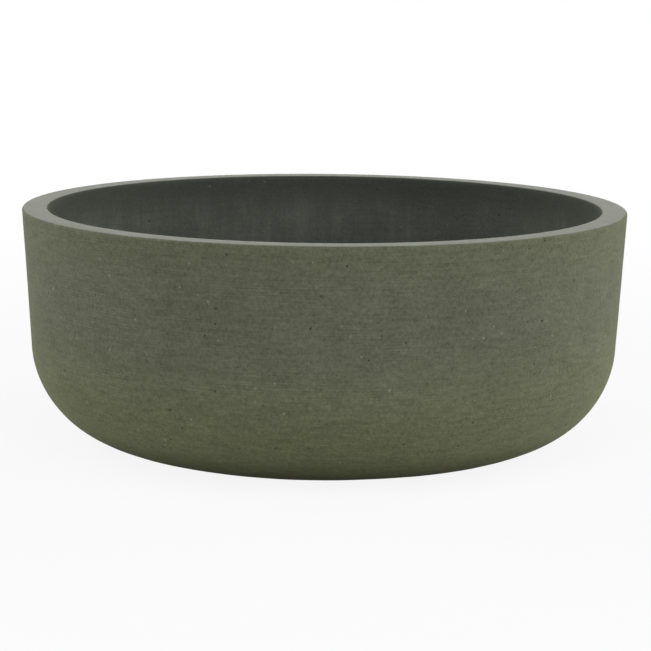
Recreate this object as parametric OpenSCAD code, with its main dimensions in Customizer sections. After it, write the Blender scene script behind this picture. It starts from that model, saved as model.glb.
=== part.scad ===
// Concrete bowl planter: a low, wide bowl cast in one piece, and the rubber plug in its
// drain hole. The wall leans out a little, runs into the base through one wide round
// corner, and ends in a flat ground rim. Underneath, the bowl stands on a ring round a
// shallow recess.
// Millimetres, +Z up, origin at the centre of the face that the bowl stands on.

/* [Bowl] */
// Outside diameter at the rim
rim_d = 400; // [320:1:600]
// Height from the ground to the rim
bowl_h = 155; // [110:1:260]
// Lean of the wall, outwards from upright, in degrees
wall_lean = 3.25; // [0:0.25:10]
// Thickness of the wall, square to its faces
wall_t = 17.5; // [10:0.5:30]
// Thickness of the floor inside the standing ring
floor_t = 17.5; // [10:0.5:30]
// Radius of the outside corner between the wall and the base
corner_r = 67; // [40:1:80]
// Rounding of the rim's outer edge
rim_outer_r = 1.5; // [0.5:0.25:4]
// Rounding of the rim's inner edge
rim_inner_r = 2.5; // [0.5:0.25:4]

/* [Base] */
// Width of the ring that the bowl stands on
ring_w = 25; // [10:1:45]
// Depth of the recess inside the ring
recess_h = 2.5; // [1:0.5:6]
// Slope of the recess's side from upright, which lets the mould come away, in degrees
recess_draft = 45; // [5:5:60]

/* [Drain hole] */
// Diameter of the hole
drain_d = 22; // [14:0.5:36]
// Depth of the seat that holds the plug's flange
seat_h = 1.5; // [0.5:0.25:4]
// Chamfer round the foot of the hole
drain_chamfer = 1.5; // [0.5:0.25:4]

/* [Plug] */
// How far the flange covers the floor of its seat, past the hole
flange_lip = 6; // [3:0.5:12]
// Thickness of the flange at its edge
flange_t = 2.5; // [1.5:0.25:5]
// Rounding of the flange's upper edge
flange_edge_r = 1; // [0.5:0.25:1.25]
// How far the stem stops short of the foot of the hole
stem_short = 2; // [1:0.5:5]
// Wall of the hollow stem, under its ribs
stem_wall = 3; // [1.5:0.25:5]
// How far the ribs stand out from the stem
rib_h = 1; // [0.5:0.25:2]
// Plain stem above each rib
rib_space = 1.5; // [0.5:0.25:4]
// Height of the straight band on each rib that meets the hole
rib_land = 0.75; // [0.5:0.25:1.5]
// Least length of plain stem below the last rib
stem_tip = 0.5; // [0.25:0.25:3]

/* [Clearances] */
// Gap between the ribs and the hole, on the radius
rib_gap = 0.05; // [0.01:0.01:0.1]
// Room for a fingertip round the flange in its seat, on the radius
seat_gap = 1; // [0.5:0.25:3]

/* [Hidden] */
$fn = 200;

// How far out of a corner its stock and its cutter reach, as multiples of the distance
// from the centre of its rounding
stock_reach = 2;
cutter_reach = 3;

// bowl
rim_r = rim_d / 2;
up_wall = 90 - wall_lean; // the wall's direction in the section, in degrees
wall_run = tan(wall_lean); // how far out the wall leans for each millimetre up
inner_rim_r = rim_r - wall_t / cos(wall_lean);
floor_z = recess_h + floor_t;

// drain hole
drain_r = drain_d / 2;
seat_z = floor_z - seat_h;
flange_r = drain_r + flange_lip;
seat_r = flange_r + seat_gap;

// plug, measured up from the flange's underside
rib_r = drain_r - rib_gap;
stem_r = rib_r - rib_h;
stem_l = seat_z - recess_h - stem_short;
rib_pitch = rib_space + rib_land + rib_h;
rib_count = floor((stem_l - stem_tip) / rib_pitch);

// Rounded corners of a half section: each is [the point where its two sides would meet,
// the directions in which they leave it, in degrees, and the radius]
rim_outer = [[rim_r, bowl_h], 180, 180 + up_wall, rim_outer_r];
rim_inner = [[inner_rim_r, bowl_h], up_wall - 180, 0, rim_inner_r];
base_outer = [[rim_r - bowl_h * wall_run, 0], up_wall, 180, corner_r];
// inside, the wall keeps its thickness round the corner
base_inner = [
    [inner_rim_r - (bowl_h - floor_z) * wall_run, floor_z], 180, up_wall, corner_r - wall_t
];
flange_edge = [[flange_r, flange_t], 180, 270, flange_edge_r];

// The standing ring reaches inwards from the foot of the outside corner
recess_r = ends(base_outer)[1].x - ring_w;
recess_top_r = recess_r - recess_h * tan(recess_draft);

// Half the angle between a corner's sides
function half_angle(corner) = abs(corner[2] - corner[1]) / 2;

// The two points where a corner's rounding leaves its sides
function ends(corner) =
    let (side = corner[3] / tan(half_angle(corner)))
    [for (way = [corner[1], corner[2]]) corner[0] + side * [cos(way), sin(way)]];

// The centre of a corner's rounding
function centre(corner) =
    let (way = (corner[1] + corner[2]) / 2)
    corner[0] + corner[3] / sin(half_angle(corner)) * [cos(way), sin(way)];

// The outline round the stock that an outward corner is rounded from. It stands well off
// both sides, so that no cut has to graze a surface.
function stock(corner) =
    let (ends = ends(corner), c = centre(corner))
    [ends[0], c + stock_reach * (corner[0] - c), ends[1]];

// The wedge from the centre of a corner's rounding out past its stock
module wedge(corner) {
    c = centre(corner);
    ends = ends(corner);
    translate(c) scale(cutter_reach) polygon([[0, 0], ends[0] - c, corner[0] - c, ends[1] - c]);
}

// What comes off an outward corner's stock
module round_off(corner) {
    difference() {
        wedge(corner);
        translate(centre(corner)) circle(corner[3]);
    }
}

// What comes out of an inward corner that is filled straight across its ends
module hollow_out(corner) {
    intersection() {
        wedge(corner);
        translate(centre(corner)) circle(corner[3]);
    }
}

// The cast concrete bowl, with its drain hole, the seat for the plug's flange and the
// recess inside the standing ring
module bowl() {
    color("#5f6250")
    rotate_extrude()
    difference() {
        polygon([
            each ends(base_inner), each stock(rim_inner), // inside, going up
            each stock(rim_outer), each stock(base_outer), // outside, going down
            [recess_r, 0], [recess_top_r, recess_h],
            [drain_r + drain_chamfer, recess_h], [drain_r, recess_h + drain_chamfer],
            [drain_r, seat_z], [seat_r, seat_z], [seat_r, floor_z]
        ]);
        hollow_out(base_inner);
        round_off(rim_inner);
        round_off(rim_outer);
        round_off(base_outer);
    }
}

// The rubber plug that closes the drain hole from inside the bowl. Each of its gripping
// ribs is a straight band over a slope that leads it into the hole.
module drain_plug() {
    rib_tops = [for (i = [0 : 1 : rib_count - 1]) -rib_space - i * rib_pitch];
    bore_r = stem_r - stem_wall;
    color("#232425")
    translate([0, 0, seat_z])
    rotate_extrude()
    difference() {
        polygon([
            [0, flange_t], each stock(flange_edge), [flange_r, 0], [stem_r, 0],
            for (top = rib_tops) each [
                [stem_r, top], [rib_r, top],
                [rib_r, top - rib_land], [stem_r, top - rib_land - rib_h]
            ],
            [stem_r, -stem_l], [bore_r, -stem_l], [bore_r, 0], [0, 0]
        ]);
        round_off(flange_edge);
    }
}

bowl();
drain_plug();
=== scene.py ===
import math
import random

import bmesh
import bpy
from mathutils import Matrix, Vector, noise


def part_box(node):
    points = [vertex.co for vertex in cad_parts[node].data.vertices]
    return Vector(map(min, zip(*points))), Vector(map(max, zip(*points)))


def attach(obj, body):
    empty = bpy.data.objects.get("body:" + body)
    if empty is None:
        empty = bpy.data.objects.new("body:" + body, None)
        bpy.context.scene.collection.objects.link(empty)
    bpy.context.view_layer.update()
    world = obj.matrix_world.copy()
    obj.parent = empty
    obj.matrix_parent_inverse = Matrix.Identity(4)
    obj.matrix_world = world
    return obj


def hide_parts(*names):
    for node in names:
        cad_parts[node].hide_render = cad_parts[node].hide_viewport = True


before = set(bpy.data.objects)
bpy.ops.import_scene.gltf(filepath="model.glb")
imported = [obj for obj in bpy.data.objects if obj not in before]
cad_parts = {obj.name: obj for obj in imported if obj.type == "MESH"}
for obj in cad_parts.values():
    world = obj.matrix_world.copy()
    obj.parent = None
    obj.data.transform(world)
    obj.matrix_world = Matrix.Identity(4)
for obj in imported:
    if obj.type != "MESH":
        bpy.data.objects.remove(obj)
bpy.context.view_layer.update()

# A concrete bowl planter: the cast bowl in olive grey, and the rubber plug in its drain hole.
# +Z is up, the bowl stands on z = 0, and the camera looks along +Y. What is written below for the
# pieces is in millimetres, and what is written for the camera, lamps and floor is in metres.

millimetre = 0.001
origin = (0.0, 0.0, 0.0)
upright = (0.0, 0.0, 1.0)
white = (1.0, 1.0, 1.0, 1.0)
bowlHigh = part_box("bowl")[1]
plugLow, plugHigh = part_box("drain_plug")

viewpoint = {
    "lens": 128.0,            # mm, on a sensor 36 mm wide
    "sensor": 36.0,
    "elevation": 9.84,        # degrees above the horizon
    "distance": 1.5553,
    "roll": 0.52,             # degrees, the picture hangs a little lower at its right end
    "target": (0.0012, 0.0, 0.0739),
}


def addCamera(settings):
    data = bpy.data.cameras.new("camera")
    data.lens = settings["lens"]
    data.sensor_width = settings["sensor"]
    camera = bpy.data.objects.new("camera", data)
    bpy.context.scene.collection.objects.link(camera)
    tilt = Matrix.Rotation(math.radians(90.0 - settings["elevation"]), 4, "X")
    roll = Matrix.Rotation(math.radians(settings["roll"]), 4, "Z")
    place = Vector(settings["target"]) + (tilt @ Vector(upright)) * settings["distance"]
    camera.matrix_world = Matrix.Translation(place) @ tilt @ roll
    bpy.context.scene.camera = camera


addCamera(viewpoint)
print("camera set")


# A socket in a material, which can be written in sums as a number can
class Wire:
    def __init__(self, tree, socket=None):
        self.tree = tree
        self.socket = socket

    # any node: its type, its settings, then the values or wires of its inputs
    def node(self, kind, settings={}, inputs={}, output=0):
        made = self.tree.nodes.new("ShaderNode" + kind)
        for name, value in settings.items():
            setattr(made, name, value)
        for name, value in inputs.items():
            if isinstance(value, Wire):
                self.tree.links.new(value.socket, made.inputs[name])
            else:
                made.inputs[name].default_value = value
        if output is not None:
            return Wire(self.tree, made.outputs[output])

    # another output of the same node
    def other(self, output):
        return Wire(self.tree, self.socket.node.outputs[output])

    def maths(self, operation, *values):
        return self.node("Math", {"operation": operation}, dict(enumerate(values)))

    def __add__(self, other):
        return self.maths("ADD", self, other)

    def __radd__(self, other):
        return self.maths("ADD", other, self)

    def __sub__(self, other):
        return self.maths("SUBTRACT", self, other)

    def __rsub__(self, other):
        return self.maths("SUBTRACT", other, self)

    def __mul__(self, other):
        return self.maths("MULTIPLY", self, other)

    def __rmul__(self, other):
        return self.maths("MULTIPLY", other, self)

    def atLeast(self, other):
        return self.maths("MAXIMUM", self, other)

    # first where this is 0, and second where it is 1
    def between(self, first, second):
        return first + self * (second - first)

    # 0 below low and 1 above high, with a soft step between them
    def step(self, low, high):
        return self.node("MapRange", {"interpolation_type": "SMOOTHSTEP"},
                         {"Value": self, "From Min": low, "From Max": high})

    # the same step along a length, with its ends in millimetres
    def fade(self, low, high):
        return self.step(low * millimetre, high * millimetre)

    # colours, which are inputs 6 and 7 of a Mix node and its output 2
    def mix(self, first, second, share):
        return self.node("Mix", {"data_type": "RGBA"}, {0: share, 6: first, 7: second}, 2)

    def toned(self, colour, tone):
        return self.node("HueSaturation", {}, {"Color": colour, "Value": tone})

    # vectors
    def stretched(self, factors):
        return self.node("VectorMath", {"operation": "MULTIPLY"}, {0: self, 1: factors})

    def length(self):
        return self.node("VectorMath", {"operation": "LENGTH"}, {0: self}, "Value")

    # noise from -1 to 1 at this place, with features of about the given size
    def grain(self, size, detail=2.0, rough=0.5, stretch=None):
        place = self.stretched(stretch) if stretch else self
        made = self.node("TexNoise", {}, {"Vector": place, "Scale": 1.0 / (size * millimetre),
                                          "Detail": detail, "Roughness": rough})
        return (made - 0.5) * 2.0

    # round spots at this place: a share of the cells has one, of any size up to the radius
    def spots(self, cell, radius, share, soft=0.4, stretch=None):
        place = self.stretched(stretch) if stretch else self
        near = self.node("TexVoronoi", {}, {"Vector": place, "Scale": 1.0 / (cell * millimetre)})
        chance = self.node("SeparateColor", {}, {"Color": near.other("Color")})
        size = (chance - (1.0 - share)) * (radius / cell / share)
        return (size - near).step(0.0, soft * radius / cell)


# A colour as it is picked on a screen, from 0 to 255
def rgb(red, green, blue):
    def linear(part):
        part = part / 255.0
        return part / 12.92 if part <= 0.04045 else ((part + 0.055) / 1.055) ** 2.4
    return (linear(red), linear(green), linear(blue), 1.0)


def newMaterial(name):
    material = bpy.data.materials.new(name)
    material.use_nodes = True
    material.node_tree.nodes.clear()
    return material, Wire(material.node_tree)


def finishMaterial(material, shader):
    shader.node("OutputMaterial", {}, {"Surface": shader}, None)
    return material


# Patterns added together, each in its own strength
def addUp(patterns, strengths):
    return sum(patterns[name] * strength for name, strength in strengths.items())


# The direction of a surface, from its relief in millimetres
def bump(wire, relief):
    return wire.node("Bump", {}, {"Height": relief, "Strength": 1.0, "Distance": millimetre})


concreteLook = {
    "wall": rgb(95, 98, 81),
    "wallPale": rgb(98, 101, 84),
    "wallTop": rgb(96, 99, 80),
    "footGreenPaintedLight": rgb(104, 108, 82),       # a greener cast towards the round corner, and paler there: painted light for the lower wall, which the lamps light less
    "paintedFootShade": rgb(65, 67, 40),            # painted shade on the lowest part, darker and more olive near the ground
    "paintedContactShadow": rgb(48, 50, 30),             # painted contact shadow on the edge that it stands on, darker still
    # the inside is a cooler colour than the wall, and darker partly as painted shade for the light
    # that reaches in less
    "inside": rgb(79, 83, 75),
    "insidePale": rgb(90, 94, 86),
    "band": rgb(63, 67, 60),             # painted shade: a darker band round the inside, under the rim
    "rim": rgb(98, 100, 92),
    "under": rgb(97, 100, 85),
    # painted shade in the pinholes, small holes and fibre marks
    "hole": rgb(46, 48, 40),
    "speck": rgb(150, 150, 134),
    # heights above the ground where a colour begins to fade out, and where it is gone
    "lowFades": {"footGreenPaintedLight": (20.0, 100.0), "paintedFootShade": (0.0, 27.0), "paintedContactShadow": (3.0, 11.0),
                 "under": (1.0, 5.0)},
    # heights above the rim where a colour begins, and where it is full
    "highFades": {"wallTop": (-35.0, 0.0), "band": (-32.0, -4.0), "rim": (-0.4, -0.1)},
    "underEdge": (-16.0, 3.0),           # the same for the underside, out from the round corner's foot
    "sideFade": 2.0,                     # half the width of the border between inside and outside
    # sizes of its patterns, from wide clouds down to fine dust
    "grains": {"clouds": 85.0, "patches": 24.0, "mottle": 9.0, "grit": 4.2, "sand": 2.1, "dust": 1.1},
    "grainRough": 0.6,
    # grain that lies level, and the fine level lines from the mould, which show in places
    "brushed": {"size": 2.3, "stretch": (0.14, 0.14, 1.0)},
    "linePitch": 1.85,
    "waver": {"size": 90.0, "stretch": (1.0, 1.0, 4.0)},
    "waverTurn": 1.5,                    # radians, how far the lines stray
    "linePlaces": {"size": 20.0, "detail": 3.0, "rough": 0.6, "stretch": (0.4, 0.4, 1.0)},
    "linesShown": (-0.15, 0.45),
    # streaks down the inside
    "streaks": {"size": 11.0, "detail": 3.0, "rough": 0.6},
    "streakRadius": 180.0,               # how far out from the axis they have that size
    "streakRun": 0.14,                   # how fast they change on the way down, against sideways
    "streakFade": (110.0, 155.0),        # how far out they begin, and where they are full
    # bubbles that broke the surface, grains of pale sand, and marks of the short fibres in it
    "pinholes": {"cell": 7.0, "radius": 1.15, "share": 0.6, "soft": 0.7},
    "smallHoles": {"cell": 4.8, "radius": 0.42, "share": 0.5, "stretch": (1.0, 1.0, 1.1)},
    "specks": {"cell": 6.2, "radius": 1.35, "share": 0.5, "soft": 0.6, "stretch": (1.1, 1.0, 1.0)},
    "fibres": {"cell": 9.0, "radius": 0.6, "share": 0.6, "stretch": (0.22, 1.0, 1.0)},
    "fibreTurn": (0.4, 0.7, 0.3),        # radians
    "faint": 0.6,                        # small holes and fibres, against the pinholes
    "speckShares": (0.15, 0.5),          # how clearly the specks show inside and outside
    # what makes the wall and the inside paler in places, where that begins and where it is full
    "wallPaler": {"clouds": 1.0, "patches": 1.0},
    "wallPaleStep": (-0.4, 0.4),
    "insidePaler": {"streaks": 1.0, "patches": 0.5, "clouds": 0.5},
    "insidePaleStep": (-0.3, 0.6),
    # how much each pattern changes the tone, and how far it stands out
    "tone": {"clouds": 0.02, "patches": 0.05, "mottle": 0.06, "grit": 0.09, "sand": 0.36,
             "dust": 0.35, "lines": 0.09, "brushed": 0.24},
    "relief": {"dust": 0.04, "sand": 0.06, "grit": 0.08, "lines": 0.02, "patches": 0.1,
               "holes": -0.4},
    "insideTone": 0.55,                  # how much of that tone shows on the smoother inside
    "roughness": 0.92,
    "rimRoughness": 0.5,
    "sandRoughness": 0.08,
    "gloss": 0.08,
    "sheen": 0.08,
    "sheenRoughness": 0.5,
    "sheenTint": rgb(240, 245, 205),
}


# Where each of the bowl's colours lies, from 0 to 1
def markBowl(wire, height, across, look, shape):
    masks = {}
    for name, (low, high) in look["lowFades"].items():
        masks[name] = 1.0 - height.fade(low, high)
    for name, (low, high) in look["highFades"].items():
        masks[name] = (height - bowlHigh.z).fade(low, high)
    pastRing = across - cornerFoot(shape) * millimetre
    masks["under"] = masks["under"] * (1.0 - pastRing.fade(*look["underEdge"]))

    # the outside keeps one distance from the middle of the round corner, from a line that goes up
    # from there along the wall, and from the level through it. The inside is a wall nearer.
    corner = shape["corner"] * millimetre
    slope = math.tan(math.radians(shape["lean"]))
    out = (pastRing - (height - corner).atLeast(0.0) * slope).atLeast(0.0)
    down = (corner - height).atLeast(0.0)
    reach = wire.maths("SQRT", out * out + down * down)
    border = shape["corner"] - 0.5 * shape["wall"]
    masks["outside"] = reach.fade(border - look["sideFade"], border + look["sideFade"])
    return masks


# The mould's lines waver a little, and show in some places only
def drawLines(wire, place, height, look):
    waver = place.grain(**look["waver"]) * look["waverTurn"]
    turn = height * (math.tau / (look["linePitch"] * millimetre)) + waver
    return wire.maths("SINE", turn) * place.grain(**look["linePlaces"]).step(*look["linesShown"])


# Streaks that run down the inside and fade out on the floor
def drawStreaks(wire, place, flat, across, look):
    radius = look["streakRadius"] * millimetre
    around = wire.node("VectorMath", {"operation": "NORMALIZE"}, {0: flat})
    turned = wire.node("VectorMath", {"operation": "ADD"},
                       {0: around.stretched((radius, radius, 0.0)),
                        1: place.stretched((0.0, 0.0, look["streakRun"]))})
    return turned.grain(**look["streaks"]) * across.fade(*look["streakFade"])


def makeConcrete(look, shape):
    material, wire = newMaterial("olive concrete")
    place = wire.node("TexCoord", output="Object")
    height = wire.node("SeparateXYZ", {}, {"Vector": place}, "Z")
    flat = place.stretched((1.0, 1.0, 0.0))
    across = flat.length()
    masks = markBowl(wire, height, across, look, shape)
    outside = masks["outside"]

    patterns = {}
    for name, size in look["grains"].items():
        patterns[name] = place.grain(size, rough=look["grainRough"])
    patterns["brushed"] = place.grain(**look["brushed"])
    patterns["lines"] = drawLines(wire, place, height, look) * outside
    patterns["streaks"] = drawStreaks(wire, place, flat, across, look)
    turned = wire.node("VectorRotate", {"rotation_type": "EULER_XYZ"},
                       {"Vector": place, "Rotation": look["fibreTurn"]})
    small = place.spots(**look["smallHoles"]).atLeast(turned.spots(**look["fibres"]))
    patterns["holes"] = place.spots(**look["pinholes"]).atLeast(small * look["faint"])
    specks = place.spots(**look["specks"]) * outside.between(*look["speckShares"])

    paler = addUp(patterns, look["wallPaler"]).step(*look["wallPaleStep"])
    wall = wire.mix(look["wall"], look["wallPale"], paler)
    # over the wall: its top tint, the paler foot that is painted light, then painted shade and a
    # painted contact shadow low down
    for name in ("wallTop", "footGreenPaintedLight", "paintedFootShade", "paintedContactShadow"):
        wall = wire.mix(wall, look[name], masks[name])
    paler = addUp(patterns, look["insidePaler"]).step(*look["insidePaleStep"])
    inner = wire.mix(look["inside"], look["insidePale"], paler)
    # painted shade round the inside, under the rim
    inner = wire.mix(inner, look["band"], masks["band"])
    colour = wire.mix(inner, wall, outside)
    for name in ("under", "rim"):
        colour = wire.mix(colour, look[name], masks[name])
    tone = 1.0 + addUp(patterns, look["tone"]) * outside.between(look["insideTone"], 1.0)
    colour = wire.toned(colour, tone)
    colour = wire.mix(colour, look["speck"], specks)
    # painted shade in the holes and fibre marks
    colour = wire.mix(colour, look["hole"], patterns["holes"])

    rough = masks["rim"].between(look["roughness"], look["rimRoughness"])
    rough = rough + patterns["sand"] * look["sandRoughness"]
    shader = wire.node("BsdfPrincipled", {}, {
        "Base Color": colour,
        "Roughness": rough,
        "Normal": bump(wire, addUp(patterns, look["relief"])),
        "Specular IOR Level": look["gloss"],
        "Sheen Weight": look["sheen"],
        "Sheen Roughness": look["sheenRoughness"],
        "Sheen Tint": look["sheenTint"],
    })
    return finishMaterial(material, shader)


bowlShape = {
    "rim": 200.0,             # radius at the rim, to the corner before its edge is eased
    "lean": 3.25,             # degrees
    "wall": 17.5,
    "floorTop": 20.0,
    "corner": 67.0,           # radius of the outside corner
    "rimOuter": 1.5,
    "rimInner": 2.5,
    "ring": 25.0,             # width of the ring that it stands on
    "recess": 2.5,
    "seat": 18.0,
    "seatTop": 18.5,
    "hole": 11.0,
    "holeFoot": 1.5,
    "softEdge": 0.35,         # edges that the mould left sharp
    # how fine the mesh is: faces along each rounding, and the longest edge along the section
    "cornerSteps": 34,
    "innerCornerSteps": 25,
    "rimOuterSteps": 5,
    "rimInnerSteps": 6,
    "softSteps": 2,
    "longest": 3.1,
    "flatLongest": 7.0,       # on the floor and underneath
    "rimLongest": 1.6,
    "turns": 480,
    # how far the walls wander from true: the size of each wave, and its height
    "waves": [(60.0, 0.22), (16.0, 0.077)],
    "calm": 3.0,              # how far round the seat it stays true
    "calmFade": 10.0,
    "ground": 0.1,            # depth below the rim that is ground flat with it
    # nicks in the rim's outer edge: how far in they reach, their size, and where they begin
    "nickReach": 2.6,
    "nickSize": 3.1,
    "nickFrom": 0.3,
    "nick": 0.9,              # depth of the worst
    "wearSize": 4.4,
    "wear": 0.1,
    "pits": 150,
    "pitBand": (22.0, 151.0), # heights between which they lie
    "pitFace": 2.2,           # shortest side of a face that takes one
    "pitBorder": 0.6,
    "pitRadii": (0.32, 0.8),
    "pitSteps": [(0.06, 0.25), (0.12, 0.18)],    # how far in and how deep its wall goes, step by step
    "seed": 11,
}


# How far a rounding reaches along both sides of a corner
def cornerReach(radius, opening):
    return radius / math.tan(opening / 2.0)


# Radius at which the standing ring runs into the outside corner
def cornerFoot(shape):
    lean = math.radians(shape["lean"])
    height = bowlHigh.z / millimetre
    foot = shape["rim"] - height * math.tan(lean)
    return foot - cornerReach(shape["corner"], math.pi / 2.0 + lean)


# An outline in the half plane y = 0, from corners of (radius, height, rounding, steps)
def drawOutline(mesh, corners, closed=True):
    points = [mesh.verts.new((r * millimetre, 0.0, z * millimetre)) for r, z, _, _ in corners]
    last = len(points) if closed else len(points) - 1
    for index in range(last):
        mesh.edges.new((points[index], points[(index + 1) % len(points)]))
    cuts = []
    for index, (_, _, rounding, steps) in enumerate(corners):
        if rounding:
            before = points[index - 1].co - points[index].co
            after = points[(index + 1) % len(points)].co - points[index].co
            reach = cornerReach(rounding * millimetre, before.angle(after))
            cuts.append((points[index], reach, steps))
    for point, reach, steps in cuts:
        bmesh.ops.bevel(mesh, geom=[point], offset=reach, offset_type="OFFSET", segments=steps,
                        profile=0.5, affect="VERTICES", material=-1)


def splitLongEdges(mesh, longest):
    for edge in list(mesh.edges):
        cuts = int(edge.calc_length() / longest(edge))
        if cuts:
            bmesh.ops.subdivide_edges(mesh, edges=[edge], cuts=cuts)


# A full turn about the axis, where points nearer than the weld become one
def turnOutline(mesh, turns, weld=0.001):
    bmesh.ops.spin(mesh, geom=mesh.verts[:] + mesh.edges[:], cent=origin, axis=upright,
                   dvec=origin, angle=math.tau, steps=turns, use_merge=True, use_duplicate=False)
    bmesh.ops.remove_doubles(mesh, verts=mesh.verts, dist=weld * millimetre)
    bmesh.ops.recalc_face_normals(mesh, faces=mesh.faces)


def finishPiece(mesh, name, material, body, node):
    for face in mesh.faces:
        face.smooth = True
    data = bpy.data.meshes.new(name)
    mesh.to_mesh(data)
    mesh.free()
    data.materials.append(material)
    piece = bpy.data.objects.new(name, data)
    bpy.context.scene.collection.objects.link(piece)
    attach(piece, body)
    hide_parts(node)
    print(name, "made with", len(data.polygons), "faces")


# The cast surface isn't quite true, and the rim's outer edge has small nicks in it
def weatherBowl(mesh, shape):
    mesh.normal_update()
    top = bowlHigh.z / millimetre
    calm = shape["seat"] + shape["calm"]
    for vert in mesh.verts:
        place = vert.co / millimetre
        across = math.hypot(place.x, place.y)
        if across < calm:
            continue
        away = min(1.0, (across - calm) / shape["calmFade"])
        wave = sum(height * noise.noise(place / size) for size, height in shape["waves"])
        shift = vert.normal * (wave * away)
        if place.z > top - shape["ground"]:
            shift.z = 0.0
        edge = 1.0 - math.hypot(shape["rim"] - across, top - place.z) / shape["nickReach"]
        nick = max(0.0, noise.noise(place / shape["nickSize"]) - shape["nickFrom"]) * shape["nick"]
        wear = noise.noise(place / shape["wearSize"]) * shape["wear"]
        inwards = Vector((-place.x, -place.y, 0.0)).normalized() - Vector(upright)
        shift += inwards * (max(0.0, edge) * (nick + wear))
        vert.co += shift * millimetre
        vert.co.z = max(0.0, vert.co.z)
    print("bowl weathered")


# Faces drawn in from their edges, and pushed in
def insetFaces(mesh, faces, border, depth):
    bmesh.ops.inset_individual(mesh, faces=faces, thickness=border * millimetre,
                               depth=-depth * millimetre)


# Small round holes that air bubbles left in the walls, each made inside one face
def pitWalls(mesh, shape):
    draw = random.Random(shape["seed"])
    low, high = shape["pitBand"]
    walls = []
    for face in mesh.faces:
        height = face.calc_center_median().z / millimetre
        side = min(edge.calc_length() for edge in face.edges) / millimetre
        if low < height < high and side > shape["pitFace"]:
            walls.append(face)

    # bmesh keeps its faces in another order each time: here round the bowl, by side and upwards
    def order(face):
        place = face.calc_center_median()
        turn = math.atan2(place.y, place.x) / math.tau * shape["turns"]
        return math.floor(turn), face.normal.x * place.x + face.normal.y * place.y > 0.0, place.z

    walls.sort(key=order)
    holes = draw.sample(walls, shape["pits"])
    insetFaces(mesh, holes, shape["pitBorder"], 0.0)
    small, large = shape["pitRadii"]
    for face in holes:
        middle = face.calc_center_median()
        radius = (small + (large - small) * draw.random() ** 2) * millimetre    # most are small
        # each side in three, and all its points on one circle
        for edge in list(face.edges):
            bmesh.utils.edge_split(edge, edge.verts[0], 1.0 / 3.0)
            bmesh.utils.edge_split(edge, edge.verts[0], 1.0 / 2.0)
        for vert in face.verts:
            vert.co = middle + (vert.co - middle).normalized() * radius
    for border, depth in shape["pitSteps"]:
        insetFaces(mesh, holes, border, depth)
    print("walls pitted with", len(holes), "holes")


def makeBowl(shape, material):
    lean = math.radians(shape["lean"])
    slope = math.tan(lean)
    height = bowlHigh.z / millimetre
    innerRim = shape["rim"] - shape["wall"] / math.cos(lean)
    innerFoot = innerRim - (height - shape["floorTop"]) * slope
    ringInner = cornerFoot(shape) - shape["ring"]
    soft = (shape["softEdge"], shape["softSteps"])
    mesh = bmesh.new()
    drawOutline(mesh, [
        (shape["seat"], shape["floorTop"], *soft),
        (innerFoot, shape["floorTop"], shape["corner"] - shape["wall"], shape["innerCornerSteps"]),
        (innerRim, height, shape["rimInner"], shape["rimInnerSteps"]),
        (shape["rim"], height, shape["rimOuter"], shape["rimOuterSteps"]),
        (shape["rim"] - height * slope, 0.0, shape["corner"], shape["cornerSteps"]),
        (ringInner, 0.0, *soft),
        (ringInner - shape["recess"], shape["recess"], *soft),
        (shape["hole"] + shape["holeFoot"], shape["recess"], *soft),
        (shape["hole"], shape["recess"] + shape["holeFoot"], *soft),
        (shape["hole"], shape["seatTop"], *soft),
        (shape["seat"], shape["seatTop"], shape["softEdge"] / 2.0, shape["softSteps"]),
    ])

    def longest(edge):
        level = abs(edge.verts[0].co.z - edge.verts[1].co.z) < millimetre
        if level and edge.verts[0].co.z > bowlHigh.z - millimetre:
            return shape["rimLongest"] * millimetre
        return shape["flatLongest" if level else "longest"] * millimetre

    splitLongEdges(mesh, longest)
    turnOutline(mesh, shape["turns"])
    weatherBowl(mesh, shape)
    pitWalls(mesh, shape)
    finishPiece(mesh, "concreteBowl", material, "bowl", "bowl")


makeBowl(bowlShape, makeConcrete(concreteLook, bowlShape))


rubberLook = {
    "dark": rgb(34, 35, 36),
    "pale": rgb(47, 48, 47),
    "dust": rgb(112, 113, 104),
    "patches": {"size": 6.0, "detail": 3.0, "rough": 0.6},
    "grain": {"size": 0.6, "rough": 0.6},
    "dustSpots": {"cell": 2.1, "radius": 0.22, "share": 0.5},
    "dustShare": 0.5,
    "paleStep": (-0.6, 0.8),  # where the patches begin to be paler, and where they are full
    "relief": {"patches": 0.02, "grain": 0.012},
    "roughness": 0.62,
    "patchRoughness": 0.1,
}


def makeRubber(look):
    material, wire = newMaterial("plug rubber")
    place = wire.node("TexCoord", output="Object")
    patterns = {name: place.grain(**look[name]) for name in look["relief"]}
    patches = patterns["patches"]
    colour = wire.mix(look["dark"], look["pale"], patches.step(*look["paleStep"]))
    dust = place.spots(**look["dustSpots"]) * look["dustShare"]
    shader = wire.node("BsdfPrincipled", {}, {
        "Base Color": wire.mix(colour, look["dust"], dust),
        "Roughness": look["roughness"] + patches * look["patchRoughness"],
        "Normal": bump(wire, addUp(patterns, look["relief"])),
    })
    return finishMaterial(material, shader)


plugShape = {
    "flange": 17.0,
    "edge": 1.0,              # rounding of the flange's upper edge
    "flangeThick": 2.5,
    "stem": 9.95,
    "rib": 10.95,
    "ribs": 4,
    "ribSpace": 1.5,
    "ribLand": 0.75,
    "ribSlope": 1.0,
    "wall": 3.0,
    "softEdge": 0.12,
    "edgeSteps": 6,
    "softSteps": 2,
    "longest": 1.6,           # longest edge of the mesh along the section
    "turns": 160,
}


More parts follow.
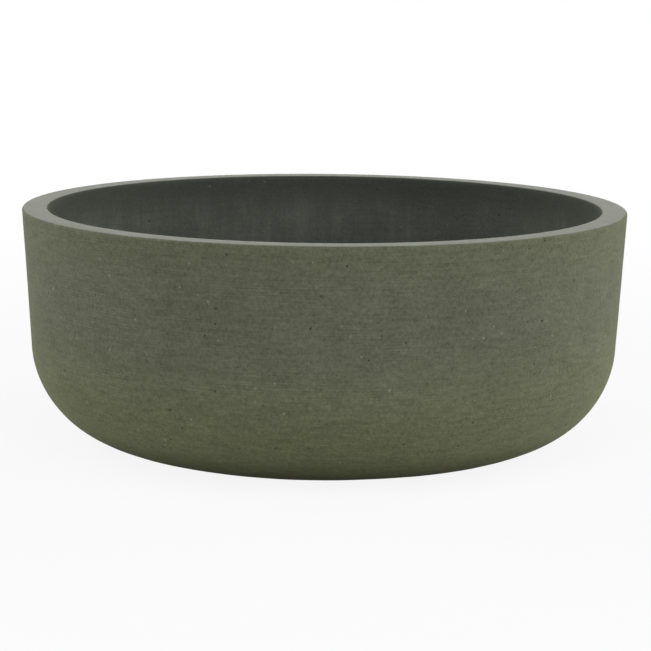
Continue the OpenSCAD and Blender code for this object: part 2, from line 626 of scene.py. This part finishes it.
def makePlug(shape, material):
    top = plugHigh.z / millimetre
    foot = plugLow.z / millimetre
    seat = top - shape["flangeThick"]
    stem = shape["stem"]
    bore = stem - shape["wall"]
    soft = (shape["softEdge"], shape["softSteps"])
    sharp = (0.0, 0)          # the ends of the outline, on the axis
    corners = [(0.0, top, *sharp), (shape["flange"], top, shape["edge"], shape["edgeSteps"]),
               (shape["flange"], seat, *soft), (stem, seat, *soft)]
    pitch = shape["ribSpace"] + shape["ribLand"] + shape["ribSlope"]
    for rib in range(shape["ribs"]):
        ribTop = seat - shape["ribSpace"] - rib * pitch
        ribFoot = ribTop - shape["ribLand"]
        corners += [(stem, ribTop, *soft), (shape["rib"], ribTop, *soft),
                    (shape["rib"], ribFoot, *soft), (stem, ribFoot - shape["ribSlope"], *soft)]
    corners += [(stem, foot, *soft), (bore, foot, *soft), (bore, seat, *soft), (0.0, seat, *sharp)]
    mesh = bmesh.new()
    drawOutline(mesh, corners, closed=False)
    splitLongEdges(mesh, lambda edge: shape["longest"] * millimetre)
    turnOutline(mesh, shape["turns"])
    finishPiece(mesh, "drainPlug", material, "plug", "drain_plug")


makePlug(plugShape, makeRubber(rubberLook))


studio = {
    "sky": 0.168,
    "floorSize": 40.0,
    "floorGap": 0.0002,       # keeps the floor clear of the ring that stands on it
    "floor": rgb(222, 222, 222),
    "floorGlow": 0.89,        # share of plain white in what the camera sees of the floor nearby
    "glowFade": (0.35, 1.2),  # how far out that share begins to grow, and where it is whole
    "aim": (0.0, 0.0, 0.08),  # where the lamps point
    "lamps": [
        # name, place, size, how bright it makes a white card that faces it at the bowl
        ("top", (0.0, -1.2, 1.6), (1.6, 1.2), 0.334),
        ("leftBack", (-1.4, 0.8, 0.7), (0.8, 1.1), 0.394),
        ("leftFront", (-1.4, -0.9, 0.7), (0.8, 1.1), 0.276),
        ("rightBack", (1.4, 0.8, 0.7), (0.8, 1.1), 0.341),
        ("rightFront", (1.5, -0.6, 0.7), (1.0, 1.1), 0.50),
        ("back", (0.0, 2.2, 0.35), (2.4, 0.6), 0.13),
    ],
}


def addLamp(name, place, size, level, aim):
    data = bpy.data.lights.new(name, "AREA")
    data.shape = "RECTANGLE"
    data.size, data.size_y = size
    way = Vector(aim) - Vector(place)
    data.energy = math.pi ** 2 * way.length_squared * level
    lamp = bpy.data.objects.new(name, data)
    lamp.location = place
    lamp.rotation_euler = way.to_track_quat("-Z", "Y").to_euler()
    bpy.context.scene.collection.objects.link(lamp)


# 1 for what the camera sees, also in gloss and through glass, and 0 for what lights the bowl
def seenByCamera(wire):
    ray = wire.node("LightPath", output="Is Camera Ray")
    return ray.atLeast(ray.other("Is Glossy Ray")).atLeast(ray.other("Is Transmission Ray"))


def lightWorld(sky):
    world = bpy.data.worlds.new("studio")
    world.use_nodes = True
    world.node_tree.nodes.clear()
    wire = Wire(world.node_tree)
    strength = seenByCamera(wire).between(sky, 1.0)
    shader = wire.node("Background", {}, {"Color": white, "Strength": strength})
    wire.node("OutputWorld", {}, {"Surface": shader}, None)
    bpy.context.scene.world = world


def makeFloorPaint(settings):
    material, wire = newMaterial("pale floor")
    far = wire.node("TexCoord", output="Object").length().step(*settings["glowFade"])
    glow = seenByCamera(wire) * far.between(settings["floorGlow"], 1.0)
    card = wire.node("BsdfDiffuse", {}, {"Color": settings["floor"]})
    plain = wire.node("Emission", {}, {"Color": white, "Strength": 1.0})
    return finishMaterial(material, wire.node("MixShader", {}, {0: glow, 1: card, 2: plain}))


def addFloor(settings):
    mesh = bmesh.new()
    drop = Matrix.Translation((0.0, 0.0, -settings["floorGap"]))
    bmesh.ops.create_grid(mesh, x_segments=1, y_segments=1, size=settings["floorSize"], matrix=drop)
    data = bpy.data.meshes.new("floor")
    mesh.to_mesh(data)
    mesh.free()
    data.materials.append(makeFloorPaint(settings))
    floor = bpy.data.objects.new("floor", data)
    bpy.context.scene.collection.objects.link(floor)


def setStudio(settings):
    for name, place, size, level in settings["lamps"]:
        addLamp(name, place, size, level, settings["aim"])
    lightWorld(settings["sky"])
    addFloor(settings)
    bpy.context.scene.view_settings.view_transform = "Standard"


setStudio(studio)
print("studio lit")
